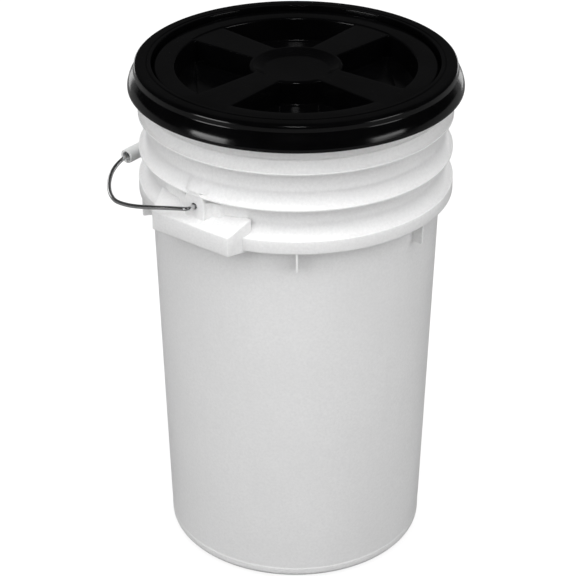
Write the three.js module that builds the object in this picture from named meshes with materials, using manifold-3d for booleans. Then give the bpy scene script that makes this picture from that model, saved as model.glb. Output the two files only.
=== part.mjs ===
// Plastic fermenting bucket with a screw-in lid, in millimetres, +Z up.
// The origin is the centre of the flat base. The two ears lie on the X axis and
// the bail rests folded down towards +Y.
import * as THREE from 'three';
import { mergeVertices } from 'three/addons/utils/BufferGeometryUtils.js';
import Module from 'manifold-3d';

const wasm = await Module();
wasm.setup();

// ---------------------------------------------------------------- driving dimensions
const TURN = 2 * Math.PI;
const SEGMENTS = 48;                 // facets round every turned piece
const GAP = 0.3;                     // air between pieces that touch
const TRIM = 0.25;                   // overlap between the pail wall and what is moulded onto it

// pail
const WALL = 2.3;
const FOOT_R = 124;                  // flat part of the base
const CORNER_R = 6;                  // rounded bottom corner
const FOOT_BEVEL = 2.3;              // height of the bevel between foot and corner
const WALL_R0 = 133.13;              // outer wall radius carried down to z = 0
const DRAFT = 0.02814;               // wall taper, mm of radius per mm of height
const BAND = { r: 156.7, low: 394.6, high: 408.3, coveTop: 427.5 };
const FLANGE_LOW = { r: 155.6, low: 438.6, high: 440.6, coveTop: 461 };
const FLANGE_HIGH = { r: 155.3, low: 475.7, high: 477.7, coveTop: 486 };
const NECK_R = 147.5;
const RIDGE_R = 149.4;
const RIDGE_TOP = 488.2;
const RIM = { r: 155.2, low: 509, top: 520.5 };
const RIB = { count: 6, thick: 2, low: 377, r: 156, firstDeg: 38.5, stepDeg: 51.5 };

// ears, one on each side along X
const EAR = { face: 163.2, halfWidth: 47, rootHalfWidth: 55.5, low: 392, high: 412, wallTop: 421.5 };
const BOSS = { face: 155.3, halfWidth: 12, top: 443.8 };
const HINGE_Z = 428.4;
const HINGE_HOLE_R = 3.3;
const BOSS_PLATE = 2.5;              // thickness of the arched plate that holds the wire

// adapter ring that snaps over the rim
const RING = { top: 527.8, plate: 2.5, bore: 141, shoulder: 157.4, skirtR: 164.5, skirtLow: 502.4, low: 493.5 };
const SEAT_R = 133.5;                // inner edge of the ledge under the lid gasket

// thread between the adapter ring and the spin lid: two starts, right-handed
const LEAD = 12;
const STARTS = 2;
const THREAD_BASE = 3;               // width of a thread ridge at its root
const THREAD_CREST = 1.4;
const FEMALE_CREST_R = 139.1;
const MALE_CREST_R = 140.4;
const THREAD_Z = 506;                // height where each ring thread starts
const THREAD_START_DEG = 2.5;        // keeps the ridge's facets off those of the bore
const MALE_LAG_DEG = 30;             // the lid thread starts this far round from the ring thread
const MALE_DROP = 2.35;              // the lid thread runs this far below the ring thread

// spin lid
const LID = { top: 523.3, wallR: 138.3, low: 500, wellR: 118, wellFloor: 498, thick: 2.4 };
const BAR = { top: 522, hubHalf: 15.5, outerHalf: 20.5, phaseDeg: -3 };
const HUB = { floorR: 32.5, floorZ: 516.5, rimR: 40.5, wallR: 46 };

// bail: steel wire and a clip-on plastic grip
const WIRE_R = 2.05;
const WIRE_SIDES = 8;
const HEAD = { from: 149.6, to: 152.2, r: 4.5 };   // upset heads that keep the wire's ends behind the bosses
const BAIL_REST_DEG = -13.2;         // folded down below level, resting on the ears
const GRIP = { length: 92, r: 7.6, bore: 4.7, webR: 2.75, slit: 1.6 };
const GRIP_V = 193.2;                // hinge line to grip centreline

// ---------------------------------------------------------------- helpers
const rad = (deg) => THREE.MathUtils.degToRad(deg);
const wallRadius = (z) => WALL_R0 + DRAFT * z;

/** Makes a manifold-3d solid from a closed three.js geometry. */
function solid(geometry) {
  const bare = geometry.clone();
  bare.deleteAttribute('normal');
  bare.deleteAttribute('uv');
  const merged = mergeVertices(bare, 1e-4);
  return new wasm.Manifold(new wasm.Mesh({
    numProp: 3,
    vertProperties: new Float32Array(merged.attributes.position.array),
    triVerts: new Uint32Array(merged.index.array),
  }));
}

/** Turns a closed counter-clockwise [radius, height] outline about the Z axis. */
function turned(outline, segments = SEGMENTS) {
  const points = outline.map(([r, z]) => new THREE.Vector2(r, z));
  const onAxis = outline[0][0] === 0;
  if (!onAxis) points.push(points[0].clone());
  return new THREE.LatheGeometry(points, segments).rotateX(Math.PI / 2).rotateZ(Math.PI / 2);
}

/** Extrudes a flat [x, y] outline upwards from z = low to z = high. */
function prism(outline, low, high) {
  const shape = new THREE.Shape(outline.map(([x, y]) => new THREE.Vector2(x, y)));
  const depth = high - low;
  return new THREE.ExtrudeGeometry(shape, { depth, bevelEnabled: false }).translate(0, 0, low);
}

/** Points on an arc of an ellipse, ends included. */
function arc(cx, cy, rx, ry, fromDeg, toDeg, steps) {
  const points = [];
  for (let i = 0; i <= steps; i++) {
    const a = rad(fromDeg + (toDeg - fromDeg) * i / steps);
    points.push([cx + rx * Math.cos(a), cy + ry * Math.sin(a)]);
  }
  return points;
}

/** A trumpet-shaped cove from a flange edge (r, low) up to the wall at (wallR, high). */
function cove(r, low, wallR, high, steps = 4) {
  return arc(r, high, wallR - r, low - high, 90, 0, steps);
}

/** The hollow underside of a flange, from the wall down to its edge. */
function underCove(r, low, wallR, high, steps = 3) {
  return cove(r, low, wallR, high, steps).reverse();
}

/** A thread ridge: a straight extrusion wound round Z, sinking into the wall at both ends. */
function threadRidge(rootR, crestR, startDeg, sweepDeg, z0) {
  const inward = Math.sign(rootR - crestR);
  const height = Math.abs(rootR - crestR);
  const buried = -0.8;
  const endCrest = -0.4;
  const buriedHalf = THREAD_BASE / 2 - buried * (THREAD_BASE - THREAD_CREST) / 2 / height;
  const profile = [
    [buried, -buriedHalf], [height, -THREAD_CREST / 2], [height, THREAD_CREST / 2], [buried, buriedHalf],
  ];
  const steps = Math.round(sweepDeg / 360 * SEGMENTS);
  const shape = new THREE.Shape(profile.map(([x, y]) => new THREE.Vector2(x, y)));
  const geometry = new THREE.ExtrudeGeometry(shape, { depth: 1, steps, bevelEnabled: false });
  const position = geometry.attributes.position;
  for (let i = 0; i < position.count; i++) {
    const t = position.getZ(i);
    const fade = Math.min(1, steps * Math.min(t, 1 - t) / 2);
    const x = position.getX(i);
    const out = x > 0 ? endCrest + (x - endCrest) * fade : x;
    const a = rad(startDeg + sweepDeg * t);
    const r = rootR - inward * out;
    const z = z0 + LEAD * sweepDeg / 360 * t + position.getY(i);
    position.setXYZ(i, r * Math.cos(a), r * Math.sin(a), z);
  }
  // winding the ridge so that it points away from the axis turns its faces inside out
  return inward < 0 ? flipped(geometry) : geometry;
}

/** Reverses every triangle of an unindexed geometry. */
function flipped(geometry) {
  const position = geometry.attributes.position;
  const a = new THREE.Vector3();
  const b = new THREE.Vector3();
  for (let i = 0; i < position.count; i += 3) {
    a.fromBufferAttribute(position, i);
    b.fromBufferAttribute(position, i + 1);
    position.setXYZ(i, b.x, b.y, b.z);
    position.setXYZ(i + 1, a.x, a.y, a.z);
  }
  return geometry;
}

/** A curve that steps through a list of stations, so that each one gets a ring of facets. */
class StationCurve extends THREE.Curve {
  constructor(stations) {
    super();
    this.stations = stations;
  }

  getPoint(t) {
    return this.stations[Math.round(t * (this.stations.length - 1))].clone();
  }

  getPointAt(t) {
    return this.getPoint(t);
  }

  getTangent(t) {
    const last = this.stations.length - 1;
    const i = Math.round(t * last);
    const before = this.stations[Math.max(i - 1, 0)];
    const after = this.stations[Math.min(i + 1, last)];
    return after.clone().sub(before).normalize();
  }

  getTangentAt(t) {
    return this.getTangent(t);
  }
}

/** A round tube along a list of stations. */
function tube(stations, r, sides) {
  const section = new THREE.Shape(arc(0, 0, r, r, 0, 360 - 360 / sides, sides - 1)
    .map(([x, y]) => new THREE.Vector2(x, y)));
  const extrudePath = new StationCurve(stations);
  return new THREE.ExtrudeGeometry(section, { steps: stations.length - 1, extrudePath, bevelEnabled: false });
}

const PLASTIC_WHITE = { color: 0xf2f3f1, roughness: 0.38, metalness: 0 };
const PLASTIC_BLACK = { color: 0x121314, roughness: 0.3, metalness: 0 };
const RUBBER = { color: 0x4a4c4e, roughness: 0.75, metalness: 0 };
const STEEL = { color: 0xb9bcc0, roughness: 0.35, metalness: 1 };
const GRIP_WHITE = { color: 0xeceeed, roughness: 0.45, metalness: 0 };

/** Wraps a solid or a geometry as a named mesh. */
function piece(name, shape, finish) {
  let geometry = shape;
  if (!shape.isBufferGeometry) {
    const mesh = shape.getMesh();
    geometry = new THREE.BufferGeometry();
    geometry.setAttribute('position', new THREE.BufferAttribute(mesh.vertProperties, 3));
    geometry.setIndex(new THREE.BufferAttribute(mesh.triVerts, 1));
    geometry.computeVertexNormals();
  }
  const result = new THREE.Mesh(geometry, new THREE.MeshStandardMaterial(finish));
  result.name = name;
  return result;
}

// ---------------------------------------------------------------- pail body
function pailShell() {
  const cornerX = wallRadius(FOOT_BEVEL + CORNER_R) - CORNER_R;
  const cornerZ = FOOT_BEVEL + CORNER_R;
  const { low: rimLow, r: rimR, top: rimTop } = RIM;
  const floorZ = WALL + GAP;
  const outer = [
    [0, 0], [FOOT_R, 0],
    ...arc(cornerX, cornerZ, CORNER_R, CORNER_R, -90, 0, 3),
    // hanging band
    ...underCove(BAND.r - WALL, BAND.high - WALL, wallRadius(BAND.coveTop - 6), BAND.coveTop - 6),
    [BAND.r - WALL, BAND.low], [BAND.r, BAND.low],
    ...cove(BAND.r, BAND.high, wallRadius(BAND.coveTop), BAND.coveTop),
    // lower flange
    ...underCove(FLANGE_LOW.r - 1, FLANGE_LOW.low, wallRadius(FLANGE_LOW.coveTop - 6), FLANGE_LOW.coveTop - 6),
    [FLANGE_LOW.r, FLANGE_LOW.low],
    ...cove(FLANGE_LOW.r, FLANGE_LOW.high, wallRadius(FLANGE_LOW.coveTop), FLANGE_LOW.coveTop),
    // upper flange and the ridge above it
    ...underCove(FLANGE_HIGH.r - 1, FLANGE_HIGH.low, NECK_R - 0.8, FLANGE_HIGH.coveTop - 3),
    [FLANGE_HIGH.r, FLANGE_HIGH.low],
    ...cove(FLANGE_HIGH.r, FLANGE_HIGH.high, NECK_R + 0.8, FLANGE_HIGH.coveTop, 3),
    [RIDGE_R, FLANGE_HIGH.coveTop], [RIDGE_R, RIDGE_TOP], [NECK_R, RIDGE_TOP + 1],
    // hollow rim
    [NECK_R, rimTop - WALL], [rimR - WALL, rimTop - WALL], [rimR - WALL, rimLow], [rimR, rimLow],
    [rimR, rimTop - 2.5], [rimR - 2, rimTop], [NECK_R, rimTop],
  ];
  const inner = [
    [NECK_R - WALL, rimTop - 1.5], [NECK_R - WALL, RIDGE_TOP + 1],
    [wallRadius(FLANGE_HIGH.low) - WALL, FLANGE_HIGH.low],
    [wallRadius(cornerZ) - WALL, cornerZ],
    ...arc(cornerX, cornerZ, CORNER_R - WALL, CORNER_R - WALL, -30, -60, 1),
    [FOOT_R - 1, floorZ], [0, floorZ],
  ];
  return solid(turned([...outer, ...inner]));
}

/** Everything inside the outer wall surface moved out by offset, used to trim the ears and ribs. */
function wallCore(offset) {
  const low = -10;
  const high = FLANGE_HIGH.low;
  return solid(turned([[0, low], [wallRadius(low) + offset, low], [wallRadius(high) + offset, high], [0, high]]));
}

/** One ear on the +X side: a hollow block, an arched boss above it and the hinge hole. */
function earSolids() {
  const { face, halfWidth, rootHalfWidth, low, high, wallTop } = EAR;
  const rootX = 138;
  const wallX = wallRadius(wallTop);
  const slope = (wallTop - high) / (face - wallX);
  const archZ = BOSS.top - BOSS.halfWidth;
  // flat outlines drawn as [y, z] and stood up facing +X
  const standing = (outline, from, to) => solid(prism(outline, from, to).rotateX(Math.PI / 2).rotateZ(Math.PI / 2));
  const arch = (inset, base) => {
    const r = BOSS.halfWidth - inset;
    return [[-r, base], [r, base], ...arc(0, archZ, r, r, 0, 180, 8)];
  };
  // the block: its plan widens towards the wall and its top slopes up to the wall
  const block = (inset, base) => {
    const front = face - inset;
    const half = halfWidth - inset;
    const rootHalf = rootHalfWidth - inset;
    const plan = prism([[rootX, -rootHalf], [front, -half], [front, half], [rootX, rootHalf]], base, wallTop + 10);
    const frontTop = high - inset;
    const rootTop = frontTop + slope * (front - rootX);
    const side = prism([[rootX, base], [front, base], [front, frontTop], [rootX, rootTop]], -rootHalf, rootHalf);
    return solid(plan).intersect(solid(side.rotateX(Math.PI / 2)));
  };
  const body = block(0, low).add(standing(arch(0, high - 2), rootX, BOSS.face));
  const hollow = block(WALL, low - 1).add(standing(arch(WALL, high - 6), rootX, BOSS.face - BOSS_PLATE));
  const hole = standing(arc(0, HINGE_Z, HINGE_HOLE_R, HINGE_HOLE_R, 0, 330, 11), rootX, face + 5);
  return { body, hollow, hole };
}

/** A thin radial rib hanging below the band. */
function rib() {
  const root = wallRadius(RIB.low) - 1;
  const outline = [
    [root, RIB.low], [RIB.r - 1.5, RIB.low + 3], [RIB.r, BAND.low], [RIB.r, BAND.low + 3], [root, BAND.low + 12],
  ];
  const geometry = prism(outline, -RIB.thick / 2, RIB.thick / 2).rotateX(Math.PI / 2);
  return solid(geometry);
}

function pailBody() {
  let pail = pailShell();
  // what is added reaches a little way into the wall, and what is cut stops just short of it
  const core = wallCore(-TRIM);
  const skin = wallCore(TRIM);
  const ear = earSolids();
  for (const side of [0, 180]) {
    pail = pail.add(ear.body.subtract(core).rotate([0, 0, side]));
    pail = pail.subtract(ear.hollow.subtract(skin).rotate([0, 0, side]));
    pail = pail.subtract(ear.hole.subtract(skin).rotate([0, 0, side]));
  }
  const oneRib = rib();
  for (let i = 0; i < RIB.count; i++) {
    const half = Math.floor(i / 3);
    const deg = RIB.firstDeg + RIB.stepDeg * (i % 3) + 180 * half;
    pail = pail.add(oneRib.rotate([0, 0, deg]).subtract(core));
  }
  return pail;
}

// ---------------------------------------------------------------- adapter ring and its gasket
function adapterRing() {
  const { top, plate, bore, shoulder, skirtR, skirtLow, low } = RING;
  const under = top - plate;
  const wallOut = bore + WALL;
  const ring = solid(turned([
    // outside, from the skirt's lower edge up over the shoulder
    [skirtR - WALL, skirtLow], [skirtR, skirtLow], [skirtR - 0.7, skirtLow + 3],
    [shoulder + 1.2, top - 8], [shoulder, top - 2.4], [shoulder - 1.9, top],
    // top face and the threaded bore
    [bore + 1.2, top], [bore, top - 1.2], [bore, low + plate], [SEAT_R, low + plate],
    [SEAT_R, low], [wallOut, low],
    // inside of the channel that takes the rim
    [wallOut, under], [shoulder - WALL, under], [shoulder + 0.6 - WALL, top - 8],
    [RIM.r + 0.6, RIM.low - GAP], [RIM.r - 1.4, RIM.low - GAP], [RIM.r - 1.4, RIM.low - 2],
    [skirtR - WALL - 1.6, skirtLow + 2],
  ]));
  let threaded = ring;
  for (let start = 0; start < STARTS; start++) {
    const ridge = threadRidge(bore, FEMALE_CREST_R, THREAD_START_DEG + 360 / STARTS * start, 240, THREAD_Z);
    threaded = threaded.add(solid(ridge));
  }
  return threaded;
}

function ringGasket() {
  const low = RIM.top + GAP;
  const high = RING.top - RING.plate - GAP;
  return turned([[146.4, low], [152.4, low], [152.4, high], [146.4, high]]);
}

// ---------------------------------------------------------------- spin lid and its gasket
/** Half width of a grip bar at radius r. */
function barHalf(r) {
  return BAR.hubHalf + (BAR.outerHalf - BAR.hubHalf) * (r - HUB.wallR) / (LID.wellR - HUB.wallR);
}

/** One of the four wells between the grip bars, as a flat outline. */
function wellOutline() {
  const cornerDeg = (r) => Math.asin(barHalf(r) / r) * 360 / TURN;
  const outer = cornerDeg(LID.wellR);
  const inner = cornerDeg(HUB.wallR);
  return [
    ...arc(0, 0, LID.wellR, LID.wellR, outer, 90 - outer, 8),
    ...arc(0, 0, HUB.wallR, HUB.wallR, 90 - inner, inner, 4),
  ];
}

function spinLid() {
  const { top, wallR, low, wellR, wellFloor, thick } = LID;
  const under = wellFloor - thick;
  const edge = 2;
  const body = solid(turned([
    [0, under], [wellR + thick, under], [wellR + thick, top - thick], [wallR - WALL, top - thick],
    [wallR - WALL, low + thick], [SEAT_R + GAP, low + thick], [SEAT_R + GAP, low], [wallR, low],
    [wallR, top - edge], [wallR - 0.6, top - 0.6], [wallR - edge, top],
    [wellR + 3, top], [wellR + 1.2, BAR.top], [HUB.rimR, BAR.top], [HUB.floorR, HUB.floorZ], [0, HUB.floorZ],
  ]));
  const well = solid(prism(wellOutline(), wellFloor, top + 5));
  const cavity = under - 5;
  const ceiling = BAR.top - thick;
  const barCavity = solid(prism([
    [0, -barHalf(0) + thick], [wellR, -barHalf(wellR) + thick], [wellR, barHalf(wellR) - thick], [0, barHalf(0) - thick],
  ], cavity, ceiling));
  const hubCavityR = HUB.wallR - thick;
  const hubCavity = solid(turned([
    [0, cavity], [hubCavityR, cavity], [hubCavityR, ceiling], [HUB.rimR, ceiling],
    [HUB.floorR - 1, HUB.floorZ - thick], [0, HUB.floorZ - thick],
  ], SEGMENTS / 2));
  let lid = body;
  for (let quarter = 0; quarter < 4; quarter++) {
    const turn = [0, 0, 90 * quarter + BAR.phaseDeg];
    lid = lid.subtract(well.rotate(turn)).subtract(barCavity.rotate(turn));
  }
  // what is left of the hub's floor stays above the cavity
  lid = lid.subtract(hubCavity).add(hubFloor());
  for (let start = 0; start < STARTS; start++) {
    const startDeg = THREAD_START_DEG + MALE_LAG_DEG + 360 / STARTS * start;
    const startZ = THREAD_Z + LEAD * MALE_LAG_DEG / 360 - MALE_DROP;
    lid = lid.add(solid(threadRidge(wallR, MALE_CREST_R, startDeg, 180, startZ)));
  }
  return lid;
}

/** The dished floor of the hub, which the bar cavities would otherwise cut away. */
function hubFloor() {
  const { floorR, floorZ, rimR } = HUB;
  const t = LID.thick;
  return solid(turned([
    [0, floorZ - t], [floorR + 1, floorZ - t], [rimR + 1, BAR.top - t], [rimR + 1, BAR.top],
    [rimR, BAR.top], [floorR, floorZ], [0, floorZ],
  ], SEGMENTS / 2));
}

function lidGasket() {
  const low = RING.low + RING.plate + GAP;
  const high = LID.low - GAP;
  return turned([[134.4, low], [137.8, low], [137.8, high], [134.4, high]]);
}

// ---------------------------------------------------------------- bail wire and grip
/** Shape of one leg of the bail as [x, distance from the hinge line]. */
function bailLeg() {
  const bend = 5;
  const legX = 164;
  const foot = [[151, 0], ...arc(legX - bend, bend, bend, bend, -90, 0, 4)];
  const leg = new THREE.CatmullRomCurve3([
    [legX, bend], [165, 20], [167.6, 46], [168.4, 64], [166.9, 78], [160.9, 97.5], [148.2, 117],
    [128, 139.5], [106.5, 159], [86, 174.5], [68, 185], [52, 191.6], [44, GRIP_V],
  ].map(([x, v]) => new THREE.Vector3(x, v, 0)), false, 'centripetal');
  const rest = leg.getSpacedPoints(24).slice(1).map((p) => [p.x, p.y]);
  return [...foot, ...rest];
}

/** Puts a point of the bail's own plane at its rest angle; side is +1 or -1 along X. */
function bailPoint([x, v], side) {
  const a = rad(BAIL_REST_DEG);
  return new THREE.Vector3(side * x, v * Math.cos(a), HINGE_Z + v * Math.sin(a));
}

function bailWire() {
  const leg = bailLeg();
  const stations = [
    ...leg.map((p) => bailPoint(p, 1)),
    ...leg.slice().reverse().map((p) => bailPoint(p, -1)),
  ];
  let wire = solid(tube(stations, WIRE_R, WIRE_SIDES));
  const head = new THREE.CylinderGeometry(HEAD.r, HEAD.r, HEAD.to - HEAD.from, 12).rotateZ(Math.PI / 2);
  for (const side of [-1, 1]) {
    const at = head.clone().translate(side * (HEAD.from + HEAD.to) / 2, 0, HINGE_Z);
    wire = wire.add(solid(at));
  }
  return wire;
}

/** The grip: an open tube with three inner webs that ride on the wire, and a slit to clip it on. */
function bailGrip() {
  const { length, r, bore, webR, slit } = GRIP;
  const slitDeg = (radius) => Math.asin(slit / 2 / radius) * 360 / TURN;
  const outer = arc(0, 0, r, r, slitDeg(r), 360 - slitDeg(r), 18);
  const webHalfDeg = 14;
  const inner = [];
  const webs = [300, 180, 60];
  let from = 360 - slitDeg(bore);
  for (const web of webs) {
    inner.push(...arc(0, 0, bore, bore, from, web + webHalfDeg, 2));
    inner.push(...arc(0, 0, webR, webR, web + webHalfDeg * 1.6, web - webHalfDeg * 1.6, 1));
    from = web - webHalfDeg;
  }
  inner.push(...arc(0, 0, bore, bore, from, slitDeg(bore), 2));
  const tubeAlongX = prism([...outer, ...inner], -length / 2, length / 2).rotateY(Math.PI / 2);
  const centre = bailPoint([0, GRIP_V], 1);
  return tubeAlongX.rotateX(rad(BAIL_REST_DEG)).translate(centre.x, centre.y, centre.z);
}

// ---------------------------------------------------------------- assembly
const bucket = new THREE.Group();
bucket.name = 'fermenting_bucket';
bucket.add(
  piece('pail_body', pailBody(), PLASTIC_WHITE),
  piece('adapter_ring', adapterRing(), PLASTIC_BLACK),
  piece('ring_gasket', ringGasket(), RUBBER),
  piece('spin_lid', spinLid(), PLASTIC_BLACK),
  piece('lid_gasket', lidGasket(), RUBBER),
  piece('bail_wire', bailWire(), STEEL),
  piece('bail_grip', bailGrip(), GRIP_WHITE),
);

export default bucket;
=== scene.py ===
# A plastic fermenting bucket with a screw-in lid: meshes, materials, light and camera.
# Lengths are in millimetres until a mesh is made, and the +X ear is drawn and then repeated.
from math import asin, atan2, cos, degrees, hypot, pi, radians, sin, sqrt, tan

import bmesh
import bpy
from mathutils import Matrix, Vector


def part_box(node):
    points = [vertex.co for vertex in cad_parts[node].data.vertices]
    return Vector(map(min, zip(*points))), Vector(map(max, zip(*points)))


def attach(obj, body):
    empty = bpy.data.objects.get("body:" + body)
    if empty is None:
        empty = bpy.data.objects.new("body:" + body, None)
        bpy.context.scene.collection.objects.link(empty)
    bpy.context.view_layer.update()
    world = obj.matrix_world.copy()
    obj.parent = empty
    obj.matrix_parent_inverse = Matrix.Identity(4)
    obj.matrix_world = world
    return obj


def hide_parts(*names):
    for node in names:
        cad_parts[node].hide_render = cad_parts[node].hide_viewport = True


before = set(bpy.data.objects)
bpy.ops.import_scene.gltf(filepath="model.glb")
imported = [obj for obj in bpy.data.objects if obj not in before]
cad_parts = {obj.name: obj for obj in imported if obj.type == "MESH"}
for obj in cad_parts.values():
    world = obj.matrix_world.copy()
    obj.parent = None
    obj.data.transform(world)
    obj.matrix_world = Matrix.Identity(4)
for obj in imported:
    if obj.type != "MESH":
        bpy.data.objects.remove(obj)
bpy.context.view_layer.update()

MM = 0.001


def extent(node):
    """Lowest and highest corner of a CAD node, in millimetres."""
    low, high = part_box(node)
    return low / MM, high / MM


PAIL_HIGH = extent("pail_body")[1]
RING_LOW, RING_HIGH = extent("adapter_ring")
LID_HIGH = extent("spin_lid")[1]

# ------------------------------------------------------------------ dimensions
SEGMENTS = 288               # facets round every large turned piece
GAP = 0.3                    # air between pieces that touch

# pail
WALL = 2.3
FOOT_R = 124
FOOT_BEVEL = 2.3
CORNER_R = 6
FOOT_LINE = dict(z=14, depth=0.3, rise=1.6, rounding=3, fade_z=30)    # faint step round the wall
WALL_R0 = 133.13             # outer wall radius carried down to z = 0
DRAFT = 0.02814              # wall taper, radius per height
BAND = dict(r=156.7, low=394.6, high=408.3, cove_top=427.5)
FLANGE_LOW = dict(r=155.6, low=438.6, high=440.6, cove_top=461)
FLANGE_HIGH = dict(r=155.3, low=475.7, high=477.7, cove_top=486)
FLANGE_LIP = 1               # solid width of a flange's edge, outside the hollow under it
HOLLOW_SHORT = 6             # how far a hollow stops below the top of its cove; half that at the upper flange
NECK_R = 147.5
NECK_LEAN = 0.8
RIDGE_R = 149.4
RIDGE_TOP = 488.2
RIM_R = 155.2
RIM_LOW = 509
RIM_TOP = PAIL_HIGH.z
# thin radial ribs under the band, half of them on each side between the ears
RIB = dict(count=6, thick=2, low=374.5, r=156, first_deg=38.5, step_deg=51.5)
GATE_RECESS = dict(r=12, depth=1.2, nub_r=2.4, nub=0.6)

# ears
EAR = dict(face=PAIL_HIGH.x, half=47, root_half=55.5, low=392, high=412, wall_top=421.5)
EAR_ROOT_X = 138
BOSS_FACE = 155.3
BOSS_R = 12
BOSS_Z = 431.8
BOSS_PLATE = 2.5
BOSS_SUNK = 2                # how deep the boss stands in the ear's block
HOLLOW_SUNK = 6              # the same for the hollow behind it
EDGE_ROUND = dict(ear=0.9, boss=0.7, rib=0.35)
HINGE_Z = 428.4
HINGE_HOLE_R = 3.3
PAD = dict(                  # raised panel beside the boss: near and far are (proud of the wall, low, high)
    from_y=10, to_y=55, step_y=(24.5, 28.5), fade_y=46, stations=45,
    near=(4, 414, 434), far=(1.8, 423.4, 437.5), fillet=4.5, fillet_y=(11, 18),
)
# swelling of the lower flange over a boss: it fades along Y, and rises and falls with height
HOOD = dict(proud=5.5, side_y=(7, 14), low_z=(441, 444), high_z=(446, 456))

# adapter ring
RING_TOP = RING_HIGH.z
RING_BORE = 141
RING_PLATE = 2.5
SHOULDER_R = 157.4
SKIRT_R = RING_HIGH.x
SKIRT_LOW = 502.4
SKIRT_SWELL = dict(low=3, high=9, lean=1.6)    # the skirt bulges slightly, then leans in
SHOULDER_DROP = 8
RING_FOOT = RING_LOW.z
SNAP = dict(clear=0.6, under=1.4, down=2)      # the bead inside the skirt that snaps under the pail's rim
SEAT_R = 133.5
# fine groove round the ring's top face
GROOVE = dict(r=145.5, half=0.9, depth=0.9)

# threads, two starts, right-handed
LEAD = 12
STARTS = 2
THREAD_BASE = 3
THREAD_CREST = 1.4
THREAD_BURIED = 0.8          # how deep a ridge stands in the wall
THREAD_SUNK = 0.4            # how far its crest is below the wall's surface at its ends
THREAD_CORNER = (0.3, 0.2)   # the chamfer at the crest, inwards and along Z
THREAD_STEP_DEG = 2.5
FADE_DEG = 15
FEMALE = dict(root=RING_BORE, crest=139.1, start_deg=2.5, sweep_deg=240, z=506)
MALE = dict(root=138.3, crest=140.4, start_deg=32.5, sweep_deg=180, z=504.65)

# spin lid
LID_TOP = LID_HIGH.z
LID_WALL_R = MALE["root"]
LID_WALL = 2.3
LID_LEDGE = 500
LID_THICK = 2.4
LID_EDGE = 2                 # rounding of the lid's outer edge
WELL_R = 118
WELL_FLOOR = 498
WELL_CORNER = 2.2
WELL_LIPS = (2.2, 1, 3)      # rounding where the top turns down into a well: at the rim, a bar and the hub
WELL_STEPS = dict(rim=24, corner=10, side=16, hub=10)
WELL_FILLET = 2
WELL_DRAFT = 0.5
BAR_TOP = 522
BAR_HUB = 15.5
BAR_OUTER = 20.5
BAR_PHASE_DEG = -3
BAR_COLUMNS = 10
FLANGE_STEP = (1.4, 2.4)     # outside the wells, where the top steps up to the flange
HUB_WALL_R = 46
HUB_RIM_R = 42
HUB_FLOOR_R = 32.5
HUB_FLOOR = 516.5

# bail
WIRE_R = 2.05
WIRE_SIDES = 16
BAIL_REST_DEG = -13.2        # folded down below level as in the photo, 5 mm clear of the ears
LEG_X = 164
LEG_BEND = 5
LEG = [
    (165, 20), (167.6, 46), (168.4, 64), (166.9, 78), (160.9, 97.5), (148.2, 117),
    (128, 139.5), (106.5, 159), (86, 174.5), (68, 185), (52, 191.6), (44, 193.2),
]
WIRE_HEAD = [                # (x, radius) of the upset head
    (149.6, 2), (149.75, 3.4), (150.2, 4.2), (150.9, 4.5), (151.7, 4.4), (152.1, 3.6), (152.25, 2.05),
]
STREAK_LENGTH = 20           # wire length to one unit of the streak coordinate
GRIP = dict(length=92, r=7.6, bore=4.7, slit=1.6, web_r=2.75, web_thick=1.5, web_inset=5)
GRIP_V = 193.2               # hinge line to grip centreline
GRIP_EDGE = 0.8


# ------------------------------------------------------------------ drawing
def wall_radius(z):
    return WALL_R0 + DRAFT * z


def arc(cx, cy, rx, ry, from_deg, to_deg, steps):
    """Points on an arc of an ellipse, ends included."""
    angles = [radians(from_deg + (to_deg - from_deg) * i / steps) for i in range(steps + 1)]
    return [(cx + rx * cos(a), cy + ry * sin(a)) for a in angles]


def eased(value, start, end):
    """0 before start, 1 after end, and a smooth step between."""
    t = min(1, max(0, (value - start) / (end - start)))
    return t * t * (3 - 2 * t)


def rounded(corners, steps=4):
    """An outline from (x, y) points and (x, y, radius) corners, with the corners rounded."""
    outline = []
    for i, corner in enumerate(corners):
        here = Vector(corner[:2])
        if len(corner) == 2:
            outline.append(tuple(here))
            continue
        before = Vector(corners[i - 1][:2]) - here
        after = Vector(corners[(i + 1) % len(corners)][:2]) - here
        half = before.angle(after) / 2
        reach = min(corner[2] / tan(half), 0.49 * before.length, 0.49 * after.length)
        centre = here + (before.normalized() + after.normalized()).normalized() * reach / cos(half)
        spoke = here + before.normalized() * reach - centre
        sweep = spoke.angle_signed(here + after.normalized() * reach - centre)
        for k in range(steps + 1):
            outline.append(tuple(centre + Matrix.Rotation(-sweep * k / steps, 2) @ spoke))
    return outline


def cove(flange, wall_r, edge=0.9, steps=14):
    """A trumpet-shaped cove from the rounded top edge of a flange up to the wall."""
    r, low, high = flange["r"], flange["high"], flange["cove_top"]
    points = arc(r, high, wall_r - r, low - high, 90, 0, steps)
    return [(*points[0], edge), *points[1:]]


def under_cove(r, low, wall_r, high, steps=8):
    """The hollow underside of a flange, from the wall down to its edge."""
    return arc(r, high, wall_r - r, low - high, 0, 90, steps)


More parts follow.
